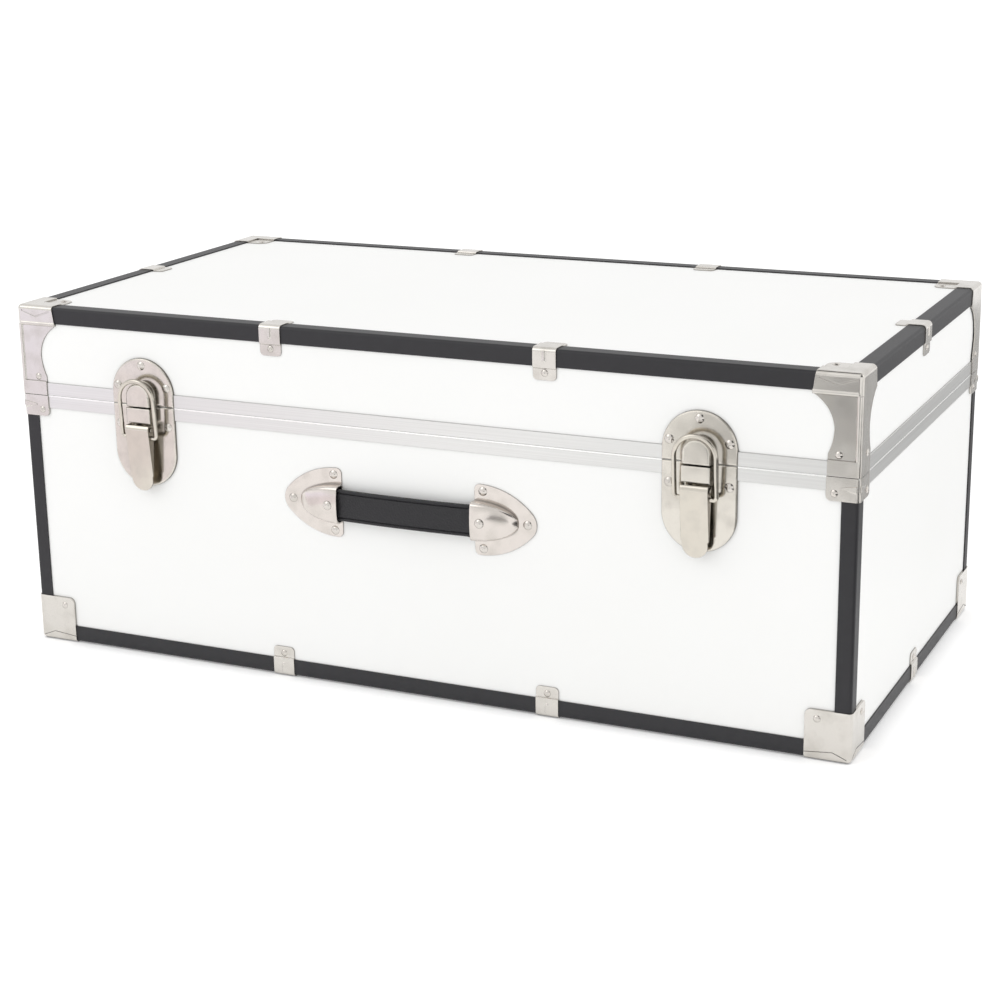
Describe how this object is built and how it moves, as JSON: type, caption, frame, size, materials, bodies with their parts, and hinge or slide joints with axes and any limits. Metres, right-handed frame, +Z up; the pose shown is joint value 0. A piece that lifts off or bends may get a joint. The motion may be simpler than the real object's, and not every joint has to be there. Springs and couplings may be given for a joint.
{
  "type": "storage trunk",
  "caption": "Boarded storage trunk with bound edges, pressed metal corners, a hinged lid on a slotted stay, over-centre draw latches and a strap handle on the front.",
  "frame": {"origin": "centre of the footprint on the floor plane, under the corner caps", "axes": "+X along the length, to the right as seen from the front; +Y from the latched front to the hinged back; +Z up"},
  "size_m": [0.7644, 0.4195, 0.311],
  "materials": {
    "white_board": "smooth white laminate on plywood",
    "black_binding": "satin charcoal lacquer",
    "rim_aluminium": "drawn, satin",
    "strap_leather": "fine grained, black",
    "handle_nickel": "nickel plated, satin",
    "fastener_nickel": "nickel plated, polished",
    "latch_nickel": "nickel plated, satin",
    "hinge_steel": "nickel plated, satin",
    "stay_steel": "zinc plated, satin",
    "nickel_hardware": "nickel plated, satin"
  },
  "bodies": {
    "trunk_case": {"back_left_bottom_cap": "nickel_hardware", "back_right_bottom_cap": "nickel_hardware", "case_back_binding": "black_binding", "case_back_board": "white_board", "case_back_rim": "rim_aluminium", "case_bottom_board": "white_board", "case_edge_clips": "nickel_hardware", "case_end_binding": "black_binding", "case_end_rim": "rim_aluminium", "case_fasteners": "fastener_nickel", "case_front_binding": "black_binding", "case_front_board": "white_board", "case_front_rim": "rim_aluminium", "case_left_board": "white_board", "case_right_board": "white_board", "case_rim_brackets": "nickel_hardware", "case_upright_bindings": "black_binding", "front_left_bottom_cap": "nickel_hardware", "front_right_bottom_cap": "nickel_hardware", "handle_rivets": "fastener_nickel", "left_handle_cap": "handle_nickel", "left_hinge_case_leaf": "hinge_steel", "left_hinge_pin": "hinge_steel", "left_latch_base": "latch_nickel", "left_latch_pin": "latch_nickel", "right_handle_cap": "handle_nickel", "right_hinge_case_leaf": "hinge_steel", "right_hinge_pin": "hinge_steel", "right_latch_base": "latch_nickel", "right_latch_pin": "latch_nickel", "stay_case_stud": "stay_steel"},
    "lid": {"back_left_lid_corner": "nickel_hardware", "back_right_lid_corner": "nickel_hardware", "front_left_lid_corner": "nickel_hardware", "front_right_lid_corner": "nickel_hardware", "left_hinge_lid_leaf": "hinge_steel", "left_latch_keeper": "latch_nickel", "lid_back_binding": "black_binding", "lid_back_board": "white_board", "lid_back_rim": "rim_aluminium", "lid_edge_clips": "nickel_hardware", "lid_end_binding": "black_binding", "lid_end_rim": "rim_aluminium", "lid_fasteners": "fastener_nickel", "lid_front_binding": "black_binding", "lid_front_board": "white_board", "lid_front_rim": "rim_aluminium", "lid_left_board": "white_board", "lid_right_board": "white_board", "lid_top_board": "white_board", "right_hinge_lid_leaf": "hinge_steel", "right_latch_keeper": "latch_nickel", "stay_lid_rivet": "stay_steel"},
    "left_lever": {"left_latch_lever": "latch_nickel"},
    "left_loop": {"left_latch_loop": "latch_nickel"},
    "right_lever": {"right_latch_lever": "latch_nickel"},
    "right_loop": {"right_latch_loop": "latch_nickel"},
    "handle_strap": {"handle_strap": "strap_leather"},
    "stay_bar": {"stay_bar": "stay_steel"}
  },
  "joints": [
    {"name": "lid_hinge", "type": "hinge", "parent": "trunk_case", "child": "lid", "pos_m": [0, 0.203, 0.2306], "axis": [-1, 0, 0], "range_deg": [0, 100]},
    {"name": "stay_pivot", "type": "hinge", "parent": "lid", "child": "stay_bar", "pos_m": [-0.3655, 0.08525, 0.24715], "axis": [-1, 0, 0], "range_deg": [-50, 0]},
    {"name": "strap_slide", "type": "slide", "parent": "trunk_case", "child": "handle_strap", "axis": [1, 0, 0], "range_m": [-0.003, 0.003]},
    {"name": "left_lever_pivot", "type": "hinge", "parent": "trunk_case", "child": "left_lever", "pos_m": [-0.254, -0.2075, 0.2112], "axis": [-1, 0, 0], "range_deg": [0, 100]},
    {"name": "left_loop_pivot", "type": "hinge", "parent": "left_lever", "child": "left_loop", "pos_m": [-0.254, -0.2081, 0.2042], "axis": [-1, 0, 0], "range_deg": [-115, 0]},
    {"name": "right_lever_pivot", "type": "hinge", "parent": "trunk_case", "child": "right_lever", "pos_m": [0.254, -0.2075, 0.2112], "axis": [-1, 0, 0], "range_deg": [0, 100]},
    {"name": "right_loop_pivot", "type": "hinge", "parent": "right_lever", "child": "right_loop", "pos_m": [0.254, -0.2081, 0.2042], "axis": [-1, 0, 0], "range_deg": [-115, 0]}
  ],
  "couplings": [
    {"joint": "stay_pivot", "follows": "lid_hinge", "ratio": -0.5},
    {"joint": "left_loop_pivot", "follows": "left_lever_pivot", "ratio": -1.15},
    {"joint": "right_loop_pivot", "follows": "right_lever_pivot", "ratio": -1.15}
  ]
}
